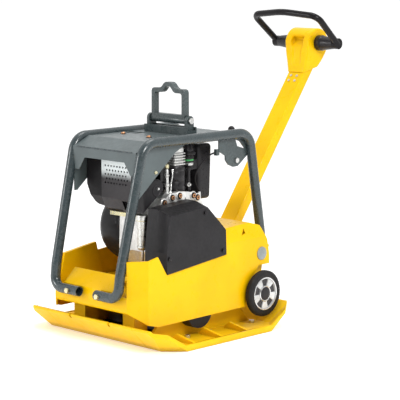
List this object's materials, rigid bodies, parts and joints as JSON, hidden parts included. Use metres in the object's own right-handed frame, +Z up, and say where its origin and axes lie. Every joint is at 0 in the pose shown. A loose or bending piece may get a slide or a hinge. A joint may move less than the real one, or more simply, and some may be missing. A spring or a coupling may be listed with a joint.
{
  "type": "plate compactor",
  "caption": "Reversible plate compactor: dished base plate, sprung diesel upper mass in a tube frame with folding lifting eye, belt cover, rear wheels and hinged drawbar with loop handle.",
  "frame": {"origin": "centre of the base plate's flat contact face, on the ground", "axes": "+Z up; the front of the machine faces -Y and the drawbar leans back towards +Y; the belt drive is on the +X side"},
  "size_m": [0.7, 1.2386, 1.1291],
  "materials": {
    "yellow_paint": "gloss enamel",
    "slate_paint": "satin powder coat",
    "grey_paint": "satin powder coat",
    "zinc_steel": "zinc plated",
    "yellow_zinc": "yellow zinc plated",
    "cast_alloy": "as cast",
    "canister_metal": "satin",
    "cast_iron": "machined and as cast",
    "bearing_steel": "ground",
    "black_paint": "satin black",
    "guard_metal": "heat-resistant paint",
    "black_plastic": "moulded",
    "mount_rubber": "matt",
    "tyre_rubber": "matt",
    "rim_plastic": "moulded",
    "plug_plastic": "moulded",
    "bush_brass": "machined"
  },
  "bodies": {
    "chassis": {"base_plate": "yellow_paint", "extension_plate_right": "yellow_paint", "extension_plate_left": "yellow_paint", "upper_body": "yellow_paint", "pole_bracket": "yellow_paint", "protective_hoop_right": "slate_paint", "protective_hoop_left": "slate_paint", "lift_base": "slate_paint", "throttle_bracket": "slate_paint", "top_cover": "grey_paint", "bolts_and_screws": "zinc_steel", "lift_pin": "zinc_steel", "pole_pin": "zinc_steel", "wheel_axle": "zinc_steel", "throttle_pin": "zinc_steel", "filter_bracket": "yellow_zinc", "engine_crankcase": "cast_alloy", "clutch_flange": "cast_alloy", "cylinder_head": "cast_alloy", "exciter_end_covers": "cast_alloy", "fuel_filter": "canister_metal", "engine_cylinder": "cast_iron", "exciter_housing": "cast_iron", "exciter_bearings": "bearing_steel", "muffler": "black_paint", "rocker_cover": "black_paint", "belt_guard": "black_paint", "flywheel_housing": "black_paint", "muffler_guard": "guard_metal", "belt_cover": "black_plastic", "fuel_tank": "black_plastic", "air_filter": "black_plastic", "rubber_mounts": "mount_rubber", "drive_belt": "mount_rubber", "throttle_cable": "mount_rubber", "side_plug": "plug_plastic"},
    "drawbar": {"pole": "yellow_paint", "pole_bushes": "bush_brass", "pole_head": "yellow_paint", "pole_screws": "zinc_steel"},
    "handle": {"control_handle": "black_paint", "handle_shaft": "black_plastic"},
    "lifting_eye": {"lifting_frame": "slate_paint"},
    "wheel_right": {"tyre_right": "tyre_rubber", "wheel_rim_right": "rim_plastic"},
    "wheel_left": {"tyre_left": "tyre_rubber", "wheel_rim_left": "rim_plastic"},
    "crank": {"crankshaft": "cast_iron", "flywheel": "cast_iron", "clutch_pulley": "cast_iron"},
    "exciter_front": {"eccentric_shaft_front": "cast_iron", "timing_gear_front": "cast_iron", "exciter_pulley": "cast_iron"},
    "exciter_rear": {"eccentric_shaft_rear": "cast_iron", "timing_gear_rear": "cast_iron"},
    "throttle": {"throttle_lever": "zinc_steel", "throttle_knob": "black_plastic"},
    "governor": {"governor_lever": "zinc_steel"},
    "cap": {"fuel_cap": "black_plastic"},
    "oil_stick": {"dipstick": "zinc_steel"}
  },
  "joints": [
    {"name": "drawbar_hinge", "type": "hinge", "parent": "chassis", "child": "drawbar", "pos_m": [0, 0.336, 0.3], "axis": [1, 0, 0], "range_deg": [-30, 35.8]},
    {"name": "handle_hinge", "type": "hinge", "parent": "drawbar", "child": "handle", "pos_m": [0, 0.79407, 0.99667], "axis": [1, 0, 0], "range_deg": [-22, 22]},
    {"name": "lifting_eye_hinge", "type": "hinge", "parent": "chassis", "child": "lifting_eye", "pos_m": [0, 0.049, 0.75], "axis": [1, 0, 0], "range_deg": [-88, 0]},
    {"name": "wheel_right_spin", "type": "hinge", "parent": "chassis", "child": "wheel_right", "pos_m": [0.27, 0.248, 0.123], "axis": [1, 0, 0], "continuous": true},
    {"name": "wheel_left_spin", "type": "hinge", "parent": "chassis", "child": "wheel_left", "pos_m": [-0.27, 0.248, 0.123], "axis": [1, 0, 0], "continuous": true},
    {"name": "crank_spin", "type": "hinge", "parent": "chassis", "child": "crank", "pos_m": [0, -0.02, 0.362], "axis": [1, 0, 0], "continuous": true},
    {"name": "exciter_front_spin", "type": "hinge", "parent": "chassis", "child": "exciter_front", "pos_m": [0, -0.046, 0.098], "axis": [1, 0, 0], "continuous": true},
    {"name": "exciter_rear_spin", "type": "hinge", "parent": "chassis", "child": "exciter_rear", "pos_m": [0, 0.046, 0.098], "axis": [1, 0, 0], "continuous": true},
    {"name": "throttle_hinge", "type": "hinge", "parent": "chassis", "child": "throttle", "pos_m": [0.144, 0.216, 0.601], "axis": [1, 0, 0], "range_deg": [0, 25]},
    {"name": "governor_hinge", "type": "hinge", "parent": "chassis", "child": "governor", "pos_m": [0.102, 0.096, 0.452], "axis": [1, 0, 0], "range_deg": [0, 20]},
    {"name": "fuel_cap_turn", "type": "hinge", "parent": "chassis", "child": "cap", "pos_m": [0.078, 0.06, 0.65], "axis": [0, 0, 1], "range_deg": [0, 90]},
    {"name": "dipstick_pull", "type": "slide", "parent": "chassis", "child": "oil_stick", "axis": [0, 0, 1], "range_m": [0, 0.06]}
  ],
  "couplings": [
    {"joint": "exciter_front_spin", "follows": "crank_spin", "ratio": 1.3457},
    {"joint": "exciter_rear_spin", "follows": "crank_spin", "ratio": -1.3457},
    {"joint": "governor_hinge", "follows": "throttle_hinge", "ratio": 0.8}
  ]
}
